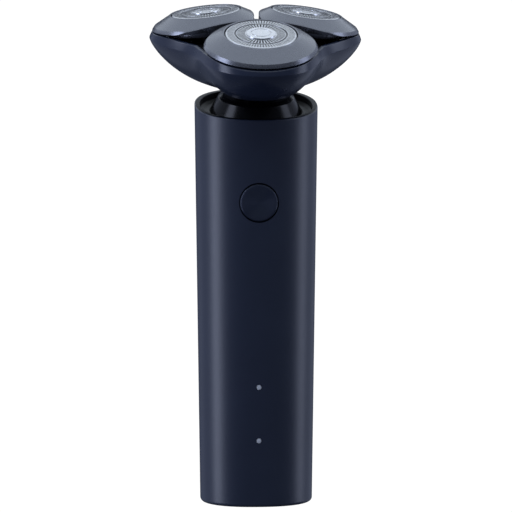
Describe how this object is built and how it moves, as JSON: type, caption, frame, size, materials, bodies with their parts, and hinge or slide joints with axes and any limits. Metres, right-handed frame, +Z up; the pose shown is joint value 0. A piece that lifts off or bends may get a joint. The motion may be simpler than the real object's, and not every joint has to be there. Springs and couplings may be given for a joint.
{
  "type": "electric shaver",
  "caption": "Compact cordless rotary shaver: tapered tube handle with a round power button, and a leaned tilting head with flexing slotted shaving units.",
  "frame": {"origin": "centre of the handle's flat base", "axes": "+Z up along the handle, -Y the front with the power button, +X to the right seen from the front"},
  "size_m": [0.066, 0.0582, 0.1553],
  "materials": {
    "handle_satin": "satin",
    "piano_navy": "gloss",
    "gloss_black": "gloss",
    "inner_plastic": "matte",
    "cover_titanium": "satin metallic",
    "foil_steel": "brushed",
    "cap_chrome": "polished",
    "light_pipe": "satin",
    "steel": "plain",
    "rubber": "matte",
    "nylon": "matte",
    "brass": "plain",
    "board": "satin",
    "cell_wrap": "satin"
  },
  "bodies": {
    "handle": {"handle_shell": "handle_satin", "base_cap": "inner_plastic", "base_seal": "rubber", "charge_socket": "steel", "chassis_front": "inner_plastic", "chassis_rear": "inner_plastic", "chassis_screws": "steel", "battery_cell": "cell_wrap", "battery_tabs": "steel", "circuit_board": "board", "board_components": "inner_plastic", "tact_switch": "steel", "indicator_leds": "nylon", "light_pipes": "light_pipe", "button_seal": "rubber", "motor_can": "steel", "motor_end_cap": "nylon", "motor_mount": "nylon", "motor_screws": "steel", "top_deck": "gloss_black", "deck_seal": "rubber", "neck_post": "gloss_black", "neck_screws": "steel", "neck_bearing": "brass", "shaft_seal": "rubber"},
    "power_button": {"power_button": "piano_navy"},
    "motor_rotor": {"motor_armature": "brass", "motor_shaft": "steel"},
    "spindle": {"drive_spindle": "steel"},
    "gimbal": {"gimbal_ring": "steel", "pitch_pins": "steel"},
    "head_base": {"head_bowl": "piano_navy", "gimbal_cradle": "inner_plastic", "roll_pins": "steel", "cradle_screws": "steel", "gear_cover": "inner_plastic", "cover_screws": "steel", "coupler_seals": "rubber"},
    "sun": {"sun_gear": "nylon"},
    "cutter_unit": {"cutter_frame": "gloss_black", "retaining_plate": "cover_titanium", "holding_magnets": "steel"},
    "planet_1": {"planet_gear_1": "nylon", "drive_coupler_1": "nylon"},
    "shaving_unit_1": {"ring_cover_1": "cover_titanium", "shaving_foil_1": "foil_steel", "foil_cap_1": "cap_chrome"},
    "cutter_1": {"inner_cutter_1": "steel"},
    "planet_2": {"planet_gear_2": "nylon", "drive_coupler_2": "nylon"},
    "shaving_unit_2": {"ring_cover_2": "cover_titanium", "shaving_foil_2": "foil_steel", "foil_cap_2": "cap_chrome"},
    "cutter_2": {"inner_cutter_2": "steel"},
    "planet_3": {"planet_gear_3": "nylon", "drive_coupler_3": "nylon"},
    "shaving_unit_3": {"ring_cover_3": "cover_titanium", "shaving_foil_3": "foil_steel", "foil_cap_3": "cap_chrome"},
    "cutter_3": {"inner_cutter_3": "steel"}
  },
  "joints": [
    {"name": "power_button_press", "type": "slide", "parent": "handle", "child": "power_button", "axis": [0, 1, 0], "range_m": [0, 0.0006], "stiffness_N_per_m": 600},
    {"name": "motor_spin", "type": "hinge", "parent": "handle", "child": "motor_rotor", "pos_m": [0, 0.0033, 0.11674], "axis": [0, 0, 1], "continuous": true},
    {"name": "spindle_spin", "type": "hinge", "parent": "handle", "child": "spindle", "pos_m": [0, 0.0033, 0.11674], "axis": [0, -0.342, 0.9397], "continuous": true},
    {"name": "head_pitch", "type": "hinge", "parent": "handle", "child": "gimbal", "pos_m": [0, -0.00252, 0.13271], "axis": [1, 0, 0], "range_deg": [-5, 5], "stiffness_Nm_per_rad": 0.6},
    {"name": "head_roll", "type": "hinge", "parent": "gimbal", "child": "head_base", "pos_m": [0, -0.00252, 0.13271], "axis": [0, 0.9397, 0.342], "range_deg": [-5, 5], "stiffness_Nm_per_rad": 0.6},
    {"name": "sun_spin", "type": "hinge", "parent": "head_base", "child": "sun", "pos_m": [0, -0.00252, 0.13271], "axis": [0, -0.342, 0.9397], "continuous": true},
    {"name": "cutter_unit_pull", "type": "slide", "parent": "head_base", "child": "cutter_unit", "axis": [0, -0.342, 0.9397], "range_m": [0, 0.02]},
    {"name": "planet_1_spin", "type": "hinge", "parent": "head_base", "child": "planet_1", "pos_m": [0, -0.02054, 0.13148], "axis": [0, -0.342, 0.9397], "continuous": true},
    {"name": "planet_2_spin", "type": "hinge", "parent": "head_base", "child": "planet_2", "pos_m": [0.01503, 0.00393, 0.14038], "axis": [0, -0.342, 0.9397], "continuous": true},
    {"name": "planet_3_spin", "type": "hinge", "parent": "head_base", "child": "planet_3", "pos_m": [-0.01503, 0.00393, 0.14038], "axis": [0, -0.342, 0.9397], "continuous": true},
    {"name": "unit_1_flex", "type": "hinge", "parent": "cutter_unit", "child": "shaving_unit_1", "pos_m": [0, -0.0331, 0.13488], "axis": [-1, 0, 0], "range_deg": [0, 4], "stiffness_Nm_per_rad": 0.25},
    {"name": "cutter_1_spin", "type": "hinge", "parent": "shaving_unit_1", "child": "cutter_1", "pos_m": [0, -0.02525, 0.14253], "axis": [0, -0.4695, 0.8829], "continuous": true},
    {"name": "unit_2_flex", "type": "hinge", "parent": "cutter_unit", "child": "shaving_unit_2", "pos_m": [0.02425, 0.00636, 0.14925], "axis": [0.5, -0.8138, -0.2962], "range_deg": [0, 4], "stiffness_Nm_per_rad": 0.25},
    {"name": "cutter_2_spin", "type": "hinge", "parent": "shaving_unit_2", "child": "cutter_2", "pos_m": [0.01559, 0.00013, 0.15177], "axis": [0.1205, -0.2733, 0.9543], "continuous": true},
    {"name": "unit_3_flex", "type": "hinge", "parent": "cutter_unit", "child": "shaving_unit_3", "pos_m": [-0.02425, 0.00636, 0.14925], "axis": [0.5, 0.8138, 0.2962], "range_deg": [0, 4], "stiffness_Nm_per_rad": 0.25},
    {"name": "cutter_3_spin", "type": "hinge", "parent": "shaving_unit_3", "child": "cutter_3", "pos_m": [-0.01559, 0.00013, 0.15177], "axis": [-0.1205, -0.2733, 0.9543], "continuous": true}
  ],
  "couplings": [
    {"joint": "spindle_spin", "follows": "motor_spin", "ratio": 1},
    {"joint": "sun_spin", "follows": "motor_spin", "ratio": 1},
    {"joint": "planet_1_spin", "follows": "motor_spin", "ratio": -0.66667},
    {"joint": "planet_2_spin", "follows": "motor_spin", "ratio": -0.66667},
    {"joint": "planet_3_spin", "follows": "motor_spin", "ratio": -0.66667},
    {"joint": "cutter_1_spin", "follows": "motor_spin", "ratio": -0.66667},
    {"joint": "cutter_2_spin", "follows": "motor_spin", "ratio": -0.66667},
    {"joint": "cutter_3_spin", "follows": "motor_spin", "ratio": -0.66667}
  ]
}
